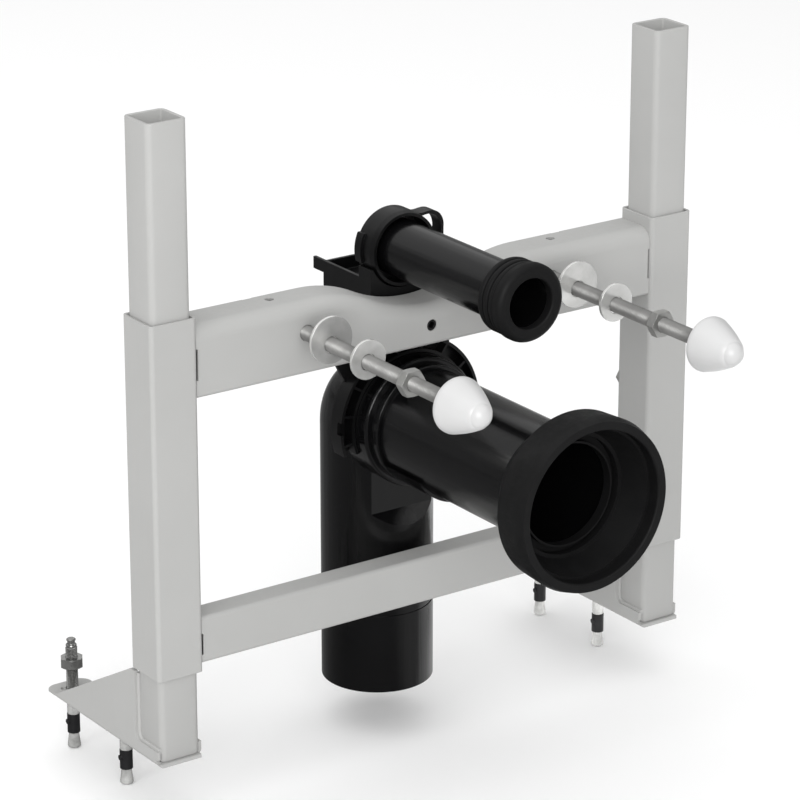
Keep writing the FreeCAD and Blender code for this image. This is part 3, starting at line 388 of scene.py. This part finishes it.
def nut_material():
    """Grey zinc on the nuts and bolts."""
    return finish("grey_zinc", settings().frame_finishes.nut, shade=0.7, roughness=(0.29, 0.4),
                  grain=(2000.0, 0.2), bump=(0.2, 0.0001), marks=(60.0, 200.0), Metallic=0.8)


def anchor_material():
    """Oiled steel of the anchors with drawing lines along their length."""
    return finish("anchor_steel", settings().frame_finishes.anchor, shade=0.6, roughness=(0.17, 0.265),
                  grain=(2200.0, 0.2), bump=(0.16, 0.0001), marks=(50.0, 500.0), stretch=(1.0, 1.0, 0.1),
                  lines=0.4, Metallic=0.85)


def cone_material():
    """Bright drawn steel of the anchors' lower ends."""
    return finish("anchor_bright", settings().frame_finishes.zinc, shade=0.5, roughness=(0.15, 0.265),
                  grain=(2200.0, 0.2), bump=(0.2, 0.0001), marks=(90.0, 600.0), stretch=(1.0, 1.0, 0.1),
                  lines=0.5, Metallic=0.6)


def bend_material():
    """Glossy black plastic with faint drawn lines that run up and down."""
    return finish("black_plastic_upright", settings().frame_finishes.plastic, shade=1.6, roughness=(0.09, 0.2),
                  grain=(420.0, 0.75), bump=(0.3, 0.0004), marks=(12.0, 190.0), stretch=(1.0, 1.0, 0.02),
                  lines=0.7, Specular_IOR_Level=0.36)


def pipe_material():
    """Glossy black plastic with faint drawn lines along the pipes."""
    return finish("black_plastic_drawn", settings().frame_finishes.plastic, shade=1.6, roughness=(0.14, 0.26),
                  grain=(420.0, 0.75), bump=(0.3, 0.0004), marks=(12.0, 190.0), stretch=(1.0, 0.02, 1.0),
                  lines=0.7, Specular_IOR_Level=0.36)


def satin_material():
    """Satin black plastic of the clip, the tray and the hood."""
    return finish("black_plastic_satin", settings().frame_finishes.plastic, shade=1.6, roughness=(0.34, 0.46),
                  grain=(900.0, 0.5), bump=(0.12, 0.0003), marks=(18.0, 60.0), Specular_IOR_Level=0.3)


def rubber_material():
    """Matte black rubber with a fine bloom."""
    return finish("matte_black_rubber", settings().frame_finishes.rubber, shade=1.35, roughness=(0.5, 0.66),
                  grain=(1500.0, 0.3), bump=(0.2, 0.0002), marks=(20.0, 70.0), Specular_IOR_Level=0.15)


def cap_material():
    """White plastic with a soft gloss."""
    return finish("soft_white_plastic", settings().frame_finishes.cap, shade=0.985, roughness=(0.29, 0.34),
                  grain=(500.0, 0.9), bump=(0.01, 0.0002), marks=(25.0, 40.0), Specular_IOR_Level=0.6)


def clip_material():
    """Dark spring steel."""
    return finish("dark_spring_steel", settings().frame_finishes.clip, shade=1.8, roughness=(0.36, 0.52),
                  grain=(1800.0, 0.3), bump=(0.2, 0.0001), marks=(80.0, 200.0), Metallic=0.3)


# Shared work on pieces

def soften(piece, width):
    """Rounds a piece's sharp edges with a modifier."""
    soft = piece.modifiers.new("Soft edges", "BEVEL")
    soft.width = width
    soft.segments = EDGE_SEGMENTS
    soft.limit_method = "ANGLE"
    soft.angle_limit = EDGE_ANGLE
    return soft


def dress(names, material, edge):
    """Gives CAD nodes a material and rounds their sharp edges with modifiers."""
    for name in names:
        piece = NODES[name]
        only(piece)
        piece.data.materials.clear()
        piece.data.materials.append(material)
        bpy.ops.object.shade_smooth()
        weld = piece.modifiers.new("Join triangles", "WELD")
        weld.merge_threshold = 0.00001
        flat = piece.modifiers.new("Clear flat faces", "DECIMATE")
        flat.decimate_type = "DISSOLVE"
        flat.angle_limit = math.radians(0.5)
        soften(piece, edge)
        piece.modifiers.new("Even shading", "WEIGHTED_NORMAL")


def lathe(name, sections, vertices):
    """A round piece along Z grown from one disc, ring after ring; each section is a height and a radius."""
    height, radius = sections[0]
    bpy.ops.object.select_all(action="DESELECT")
    bpy.ops.mesh.primitive_circle_add(vertices=vertices, radius=radius, fill_type="NGON",
                                      location=(0, 0, height))
    piece = bpy.context.object
    piece.name = piece.data.name = name
    bpy.ops.object.transform_apply(location=True, rotation=True, scale=True)
    bpy.ops.object.mode_set(mode="EDIT")
    bpy.ops.mesh.select_mode(type="FACE")
    bpy.ops.mesh.select_all(action="SELECT")
    for level, wide in sections[1:]:
        bpy.ops.mesh.extrude_region_move(TRANSFORM_OT_translate={"value": (0, 0, level - height)})
        bpy.ops.transform.resize(value=(wide / radius, wide / radius, 1), center_override=(0, 0, level))
        height, radius = level, wide
    bpy.ops.mesh.select_all(action="SELECT")
    bpy.ops.mesh.normals_make_consistent(inside=False)
    bpy.ops.object.mode_set(mode="OBJECT")
    return piece


def steps_from(level, radius, steps):
    """Sections at small steps of height and radius from a place on a round piece."""
    return [(level + rise, radius + growth) for rise, growth in steps]


def thread_ridge(core, depth, pitch, low, high):
    """The helical ridge of a thread along Z, from a low to a high level."""
    bpy.ops.object.select_all(action="DESELECT")
    bpy.ops.mesh.primitive_circle_add(vertices=4, radius=1, fill_type="NOTHING", rotation=(QUARTER, 0, 0))
    ridge = bpy.context.object
    bpy.ops.object.transform_apply(location=True, rotation=True, scale=True)
    bpy.ops.object.mode_set(mode="EDIT")
    bpy.ops.mesh.select_all(action="SELECT")
    bpy.ops.transform.resize(value=(depth, 1, THREAD_FLANK * pitch), center_override=(0, 0, 0))
    bpy.ops.transform.translate(value=(core, 0, low + pitch / 2))
    bpy.ops.object.mode_set(mode="OBJECT")
    helix = ridge.modifiers.new("Thread", "SCREW")
    helix.axis = "Z"
    helix.screw_offset = pitch
    helix.iterations = int((high - low) / pitch) - 1
    helix.steps = helix.render_steps = settings().frame_threads.steps
    bpy.ops.object.modifier_apply(modifier=helix.name)
    bpy.ops.object.mode_set(mode="EDIT")
    bpy.ops.mesh.select_all(action="SELECT")
    bpy.ops.mesh.fill_holes(sides=0)
    bpy.ops.mesh.normals_make_consistent(inside=False)
    bpy.ops.object.mode_set(mode="OBJECT")
    return ridge


def pick(piece, kind, test):
    """Selects in edit mode just the faces or edges that pass a test."""
    bpy.ops.mesh.select_mode(type=kind)
    bpy.ops.mesh.select_all(action="DESELECT")
    shape = bmesh.from_edit_mesh(piece.data)
    for item in shape.faces if kind == "FACE" else shape.edges:
        item.select_set(test(item))
    bmesh.update_edit_mesh(piece.data)


def open_tube(name, low, high, corner, wall, edge):
    """A square tube with round corners, open at the top and closed at its foot."""
    bpy.ops.object.select_all(action="DESELECT")
    bpy.ops.mesh.primitive_cube_add(size=1, location=(low + high) / 2, scale=high - low)
    piece = bpy.context.object
    piece.name = piece.data.name = name
    bpy.ops.object.transform_apply(location=True, rotation=True, scale=True)
    bpy.ops.object.mode_set(mode="EDIT")
    pick(piece, "EDGE", lambda side: abs(side.verts[0].co.z - side.verts[1].co.z) > corner)
    bpy.ops.mesh.bevel(offset=corner, segments=6, affect="EDGES")
    pick(piece, "FACE", lambda face: face.normal.z > 0.9)
    bpy.ops.mesh.inset(thickness=wall)
    bpy.ops.mesh.extrude_region_move(TRANSFORM_OT_translate={"value": (0, 0, low.z + wall - high.z)})
    bpy.ops.mesh.select_all(action="SELECT")
    bpy.ops.mesh.normals_make_consistent(inside=False)
    bpy.ops.object.mode_set(mode="OBJECT")
    soft = soften(piece, edge)
    bpy.ops.object.modifier_apply(modifier=soft.name)
    return piece


def weld_run(name, radius, start, drop, fillet, run):
    """A weld bead that goes down an edge, round an inner corner and forward."""
    bpy.ops.object.select_all(action="DESELECT")
    bpy.ops.mesh.primitive_circle_add(vertices=12, radius=radius, fill_type="NGON", location=start)
    piece = bpy.context.object
    piece.name = piece.data.name = name
    bpy.ops.object.transform_apply(location=True, rotation=True, scale=True)
    bpy.ops.object.mode_set(mode="EDIT")
    bpy.ops.mesh.select_mode(type="FACE")
    bpy.ops.mesh.select_all(action="SELECT")
    bpy.ops.mesh.extrude_region_move(TRANSFORM_OT_translate={"value": (0, 0, -drop)})
    pivot = (start[0], start[1] - fillet, start[2] - drop)
    turns = 6
    for step in range(turns):
        bpy.ops.mesh.extrude_region_move(TRANSFORM_OT_translate={"value": (0, 0, 0)})
        bpy.ops.transform.rotate(value=QUARTER / turns, orient_axis="X", center_override=pivot)
    bpy.ops.mesh.extrude_region_move(TRANSFORM_OT_translate={"value": (0, -run, 0)})
    bpy.ops.mesh.select_all(action="SELECT")
    bpy.ops.mesh.normals_make_consistent(inside=False)
    bpy.ops.object.mode_set(mode="OBJECT")
    return piece


def place_copy(model, name, location, turn, body, node=None):
    """A copy of a model with its own mesh, set in its place, for the CAD node that it stands for."""
    only(model)
    bpy.ops.object.duplicate(linked=False)
    piece = bpy.context.object
    piece.name = piece.data.name = name
    piece.location = location
    piece.rotation_euler = turn
    bpy.ops.object.transform_apply(location=True, rotation=True, scale=True)
    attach(piece, body)
    if node:
        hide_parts(node)


def coat(piece, material, angle=35):
    """Gives a new piece its material and its smooth shading."""
    only(piece)
    bpy.ops.object.shade_smooth_by_angle(angle=math.radians(angle))
    piece.data.materials.clear()
    piece.data.materials.append(material)


def put_away(model):
    """Removes a model once its copies are placed."""
    only(model)
    bpy.ops.object.delete()


def join(first, *others):
    """Joins pieces into the first one."""
    only(first, *others)
    bpy.ops.object.join()
    return first


# Operators

class FRAME_OT_painted_steel(bpy.types.Operator):
    """Paints the sleeves, rails and feet and rounds their cut edges"""

    bl_idname = "toilet_frame.painted_steel"
    bl_label = "Painted Steel"

    def execute(self, context):
        dress(node_names("_sleeve", "_rail", "_foot"), paint_material(), settings().frame_edges.steel)
        return {"FINISHED"}


class FRAME_OT_posts(bpy.types.Operator):
    """Models the two square posts, open at the top"""

    bl_idname = "toilet_frame.posts"
    bl_label = "Posts"

    def execute(self, context):
        sizes = settings().frame_steel
        names = node_names("_post")
        low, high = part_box(names[0])
        model = open_tube("post", low, high, sizes.post_corner, sizes.post_wall, settings().frame_edges.steel)
        coat(model, paint_material())
        for name in names:
            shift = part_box(name)[0] - low
            place_copy(model, name + "_tube", shift, (0, 0, 0), "legs", name)
        put_away(model)
        return {"FINISHED"}


class FRAME_OT_weld_beads(bpy.types.Operator):
    """Models the weld beads between the gussets and the posts"""

    bl_idname = "toilet_frame.weld_beads"
    bl_label = "Weld Beads"

    def execute(self, context):
        sizes = settings().frame_steel
        names = node_names("_post")
        low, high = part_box(names[0])
        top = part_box(names[0].replace("_post", "_foot"))[1].z
        edge = high.y - sizes.setback
        start = (low.x, edge, top - sizes.bead)
        corner = sizes.flange + sizes.fillet
        run = edge - sizes.fillet - low.y - sizes.bead
        model = weld_run("weld", sizes.bead, start, start[2] - corner, sizes.fillet, run)
        coat(model, paint_material(), 60)
        for name in names:
            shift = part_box(name)[0] - low
            place_copy(model, name + "_weld", shift, (0, 0, 0), "legs")
        put_away(model)
        return {"FINISHED"}


class FRAME_OT_zinc_fittings(bpy.types.Operator):
    """Plates the washers, nuts and clamp bolts"""

    bl_idname = "toilet_frame.zinc_fittings"
    bl_label = "Zinc Fittings"

    def execute(self, context):
        edge = settings().frame_edges.fitting
        dress(node_names("_washer"), washer_material(), edge)
        dress(node_names("_pan_nut", "_clamp_bolt"), nut_material(), edge)
        dress(node_names("_anchor_nut"), anchor_material(), edge)
        return {"FINISHED"}


class FRAME_OT_pan_studs(bpy.types.Operator):
    """Models the two threaded pan studs"""

    bl_idname = "toilet_frame.pan_studs"
    bl_label = "Pan Studs"

    def execute(self, context):
        sizes = settings().frame_threads
        names = node_names("_pan_stud")
        low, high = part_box(names[0])
        length = high.y - low.y
        depth = sizes.depth * sizes.pan_pitch
        core = (high.x - low.x) / 2 - depth
        sections = [(0, core - depth), (depth, core), (length - depth, core), (length, core - depth)]
        rod = lathe("stud", sections, 2 * sizes.steps)
        model = join(rod, thread_ridge(core, depth, sizes.pan_pitch, 0, length))
        coat(model, stud_material())
        for name in names:
            low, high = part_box(name)
            start = ((low.x + high.x) / 2, high.y, (low.z + high.z) / 2)
            place_copy(model, name + "_threaded", start, (QUARTER, 0, 0), "carrier", name)
        put_away(model)
        return {"FINISHED"}


class FRAME_OT_anchor_studs(bpy.types.Operator):
    """Models the four anchor studs: wedge cone, neck, threaded shank and driving pin"""

    bl_idname = "toilet_frame.anchor_studs"
    bl_label = "Anchor Studs"

    def execute(self, context):
        sizes, threads = settings().frame_anchors, settings().frame_threads
        names = node_names("_anchor_stud")
        low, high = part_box(names[0])
        clip_low, clip_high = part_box(names[0].replace("_stud", "_clip"))
        depth = threads.depth * threads.anchor_pitch
        cone, root = (high.x - low.x) / 2, sizes.shank - depth
        neck_start, neck_end = clip_low.z - low.z, clip_high.z - low.z
        top = high.z - low.z
        pin_start = top - sizes.pin_length
        thread_start, thread_end = neck_end + sizes.plain, pin_start - ANCHOR_THREAD_STOP
        sections = [*steps_from(0, cone, ANCHOR_FOOT), (neck_start, sizes.neck), (neck_end, sizes.neck),
                    *steps_from(neck_end, sizes.shank, ANCHOR_SHOULDER),
                    (thread_start, sizes.shank), (thread_start + depth, root), (thread_end, root),
                    *steps_from(pin_start, sizes.shank, ANCHOR_TIP),
                    *steps_from(pin_start, sizes.pin, ANCHOR_PIN_ROOT),
                    *steps_from(top, sizes.pin, ANCHOR_PIN_HEAD)]
        rod = lathe("anchor", sections, ANCHOR_SIDES)
        model = join(rod, thread_ridge(root, depth, threads.anchor_pitch, thread_start, thread_end))
        coat(model, anchor_material())
        model.data.materials.append(cone_material())
        for face in model.data.polygons:
            face.material_index = int(face.center.z < thread_start)
        for name in names:
            low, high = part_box(name)
            start = ((low.x + high.x) / 2, (low.y + high.y) / 2, low.z)
            place_copy(model, name + "_threaded", start, (0, 0, 0), "legs", name)
        put_away(model)
        return {"FINISHED"}


class FRAME_OT_anchor_clips(bpy.types.Operator):
    """Blackens the expansion clips of the anchors"""

    bl_idname = "toilet_frame.anchor_clips"
    bl_label = "Anchor Clips"

    def execute(self, context):
        dress(node_names("_anchor_clip"), clip_material(), settings().frame_edges.fitting)
        return {"FINISHED"}


class FRAME_OT_black_mouldings(bpy.types.Operator):
    """Finishes the waste bend, both pipes, the tray, the clip, the hood and the plug"""

    bl_idname = "toilet_frame.black_mouldings"
    bl_label = "Black Mouldings"

    def execute(self, context):
        edge = settings().frame_edges.moulding
        dress(node_names("waste_bend"), bend_material(), edge)
        dress(node_names("_holder", "flush_clip", "rail_insert"), satin_material(), edge)
        dress(node_names("_pipe"), pipe_material(), edge)
        return {"FINISHED"}


class FRAME_OT_seals(bpy.types.Operator):
    """Finishes the two rubber seals"""

    bl_idname = "toilet_frame.seals"
    bl_label = "Seals"

    def execute(self, context):
        dress(node_names("_seal"), rubber_material(), settings().frame_edges.rubber)
        return {"FINISHED"}


class FRAME_OT_caps(bpy.types.Operator):
    """Models the white caps: a band, a swelling cone and a round nose behind a fine crease"""

    bl_idname = "toilet_frame.caps"
    bl_label = "Caps"

    def execute(self, context):
        sizes = settings().frame_caps
        names = node_names("_cap")
        low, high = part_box(names[0])
        length = high.y - low.y
        middle = length - sizes.nose
        inner = sizes.radius - sizes.lip
        meet = math.radians(CAP_NOSE_MEETS)
        cone_end = (middle + sizes.nose * math.cos(meet), sizes.nose * math.sin(meet) + sizes.crease)
        bow = CAP_RIM_BOW * sizes.rim
        sections = [(sizes.hollow, inner - sizes.draft), (sizes.inner_rim, inner),
                    (0, inner + sizes.inner_rim), (0, sizes.radius - sizes.rim), (bow, sizes.radius - bow),
                    (sizes.rim, sizes.radius)]
        for step in range(CAP_CONE_RINGS + 1):
            share = step / CAP_CONE_RINGS
            level = sizes.band + share * (cone_end[0] - sizes.band)
            swell = sizes.bulge * math.sin(math.pi * share)
            sections.append((level, sizes.radius + share * (cone_end[1] - sizes.radius) + swell))
        sections.append((cone_end[0] + sizes.crease, cone_end[1] - sizes.crease))
        for turn in CAP_NOSE_TURNS:
            angle = math.radians(turn)
            sections.append((middle + sizes.nose * math.cos(angle), sizes.nose * math.sin(angle)))
        model = lathe("cap", sections, CAP_SIDES)
        coat(model, cap_material(), 30)
        for name in names:
            low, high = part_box(name)
            start = ((low.x + high.x) / 2, high.y, (low.z + high.z) / 2)
            place_copy(model, name + "_creased", start, (QUARTER, 0, 0), "carrier", name)
        put_away(model)
        return {"FINISHED"}


def panel_light(name, location, target, size, power, reflected):
    """A soft light panel that faces a point."""
    bpy.ops.object.light_add(type="AREA", location=location)
    lamp = bpy.context.object
    lamp.name = name
    lamp.rotation_euler = (Vector(target) - Vector(location)).to_track_quat("-Z", "Y").to_euler()
    lamp.data.shape = "RECTANGLE"
    lamp.data.size, lamp.data.size_y = size
    lamp.data.energy = power
    lamp.visible_camera = False
    lamp.visible_glossy = reflected


def floor_material(colour):
    """Matte pale floor, darker in most reflections so that black and bright pieces keep their depth."""
    pale = bpy.data.materials.new("pale_floor")
    pale.use_nodes = True
    tree = pale.node_tree
    link = tree.links.new
    shader = tree.nodes["Principled BSDF"]
    shader.inputs["Roughness"].default_value = 0.9
    shader.inputs["Specular IOR Level"].default_value = 0.1
    where = tree.nodes.new("ShaderNodeTexCoord")
    direction = tree.nodes.new("ShaderNodeTexGradient")
    direction.gradient_type = "RADIAL"
    dim = tree.nodes.new("ShaderNodeValToRGB")
    dim.color_ramp.interpolation = "EASE"
    stops = dim.color_ramp.elements
    for place, level in FLOOR_LEVELS:
        stops.new(place).color = (level, level, level, 1)
    for end in (stops[0], stops[len(stops) - 1]):
        end.color = (FLOOR_END_LEVEL, FLOOR_END_LEVEL, FLOOR_END_LEVEL, 1)
    ray = tree.nodes.new("ShaderNodeLightPath")
    tone = tree.nodes.new("ShaderNodeMix")
    tone.data_type = "RGBA"
    tone.inputs["A"].default_value = (*colour, 1.0)
    link(where.outputs["Object"], direction.inputs["Vector"])
    link(direction.outputs["Fac"], dim.inputs["Fac"])
    link(dim.outputs["Color"], tone.inputs["B"])
    link(ray.outputs["Is Glossy Ray"], tone.inputs["Factor"])
    link(tone.outputs["Result"], shader.inputs["Base Color"])
    return pale


def lay_floor(colour):
    """A round slab under the frame."""
    bottom = CAD_BOX[0][2] - FLOOR_GAP - FLOOR_THICKNESS
    bpy.ops.object.select_all(action="DESELECT")
    bpy.ops.mesh.primitive_circle_add(vertices=96, radius=FLOOR_RADIUS, fill_type="NGON",
                                      location=(0.25, 0, bottom))
    floor = bpy.context.object
    floor.name = "floor"
    bpy.ops.object.mode_set(mode="EDIT")
    bpy.ops.mesh.select_all(action="SELECT")
    bpy.ops.mesh.extrude_region_move(TRANSFORM_OT_translate={"value": (0, 0, FLOOR_THICKNESS)})
    bpy.ops.mesh.select_all(action="SELECT")
    bpy.ops.mesh.normals_make_consistent(inside=False)
    bpy.ops.object.mode_set(mode="OBJECT")
    floor.data.materials.append(floor_material(colour))


def light_from_all_round(scene, strength):
    """White light from all round, at half its strength in reflections."""
    world = bpy.data.worlds.new("studio")
    world.use_nodes = True
    tree = world.node_tree
    back = tree.nodes["Background"]
    back.inputs["Color"].default_value = (1, 1, 1, 1)
    ray = tree.nodes.new("ShaderNodeLightPath")
    level = add_node(tree, "ShaderNodeMapRange", To_Min=strength, To_Max=strength / 2)
    tree.links.new(ray.outputs["Is Glossy Ray"], level.inputs["Value"])
    tree.links.new(level.outputs["Result"], back.inputs["Strength"])
    scene.world = world


def set_camera(scene):
    """The camera at the photograph's angle."""
    turn = (CAMERA_AIM - CAMERA_PLACE).to_track_quat("-Z", "Y").to_euler()
    bpy.ops.object.camera_add(location=CAMERA_PLACE, rotation=turn)
    scene.camera = bpy.context.object
    scene.camera.data.sensor_width = CAMERA_SENSOR
    scene.camera.data.lens = CAMERA_LENS
    scene.camera.data.clip_end = CAMERA_REACH


class FRAME_OT_studio(bpy.types.Operator):
    """Sets the pale floor, the soft lights and the camera"""

    bl_idname = "toilet_frame.studio"
    bl_label = "Studio"

    def execute(self, context):
        values = settings().frame_light
        lay_floor(values.floor)
        for name, place, target, size, strength, reflected in PANELS:
            panel_light(name, place, target, size, getattr(values, strength), reflected)
        light_from_all_round(context.scene, values.ambient)
        context.scene.view_settings.view_transform = "Standard"
        set_camera(context.scene)
        return {"FINISHED"}


class FRAME_PT_sidebar(bpy.types.Panel):
    """The frame's pieces and finishes in the sidebar"""

    bl_idname = "FRAME_PT_sidebar"
    bl_label = "Toilet Frame"
    bl_space_type = "VIEW_3D"
    bl_region_type = "UI"
    bl_category = "Toilet Frame"

    def draw(self, context):
        for operator in OPERATORS:
            self.layout.operator(operator.bl_idname)
        for label in GROUPS:
            group = getattr(context.scene, label)
            column = self.layout.box().column()
            for name in group.__annotations__:
                column.prop(group, name)


GROUPS = {
    "frame_threads": ThreadSizes,
    "frame_anchors": AnchorSizes,
    "frame_steel": SteelSizes,
    "frame_caps": CapSizes,
    "frame_edges": EdgeSizes,
    "frame_finishes": Finishes,
    "frame_light": StudioLight,
}
OPERATORS = (
    FRAME_OT_painted_steel,
    FRAME_OT_posts,
    FRAME_OT_weld_beads,
    FRAME_OT_zinc_fittings,
    FRAME_OT_pan_studs,
    FRAME_OT_anchor_studs,
    FRAME_OT_anchor_clips,
    FRAME_OT_black_mouldings,
    FRAME_OT_seals,
    FRAME_OT_caps,
    FRAME_OT_studio,
)


def register():
    """Adds the classes and the values on the scene."""
    for name, group in GROUPS.items():
        bpy.utils.register_class(group)
        setattr(bpy.types.Scene, name, PointerProperty(type=group))
    for item in OPERATORS + (FRAME_PT_sidebar,):
        bpy.utils.register_class(item)


def unregister():
    """Takes the classes and the values away again."""
    for item in reversed(OPERATORS + (FRAME_PT_sidebar,)):
        bpy.utils.unregister_class(item)
    for name, group in GROUPS.items():
        delattr(bpy.types.Scene, name)
        bpy.utils.unregister_class(group)


def plain(box):
    """A box as plain lists of numbers."""
    return [[float(value) for value in corner] for corner in box]


def main():
    """Builds every piece, then the studio."""
    register()
    bpy.ops.toilet_frame.painted_steel()
    bpy.ops.toilet_frame.posts()
    bpy.ops.toilet_frame.weld_beads()
    bpy.ops.toilet_frame.zinc_fittings()
    bpy.ops.toilet_frame.pan_studs()
    bpy.ops.toilet_frame.anchor_studs()
    bpy.ops.toilet_frame.anchor_clips()
    bpy.ops.toilet_frame.black_mouldings()
    bpy.ops.toilet_frame.seals()
    bpy.ops.toilet_frame.caps()
    bpy.ops.toilet_frame.studio()


if __name__ == "__main__":
    main()
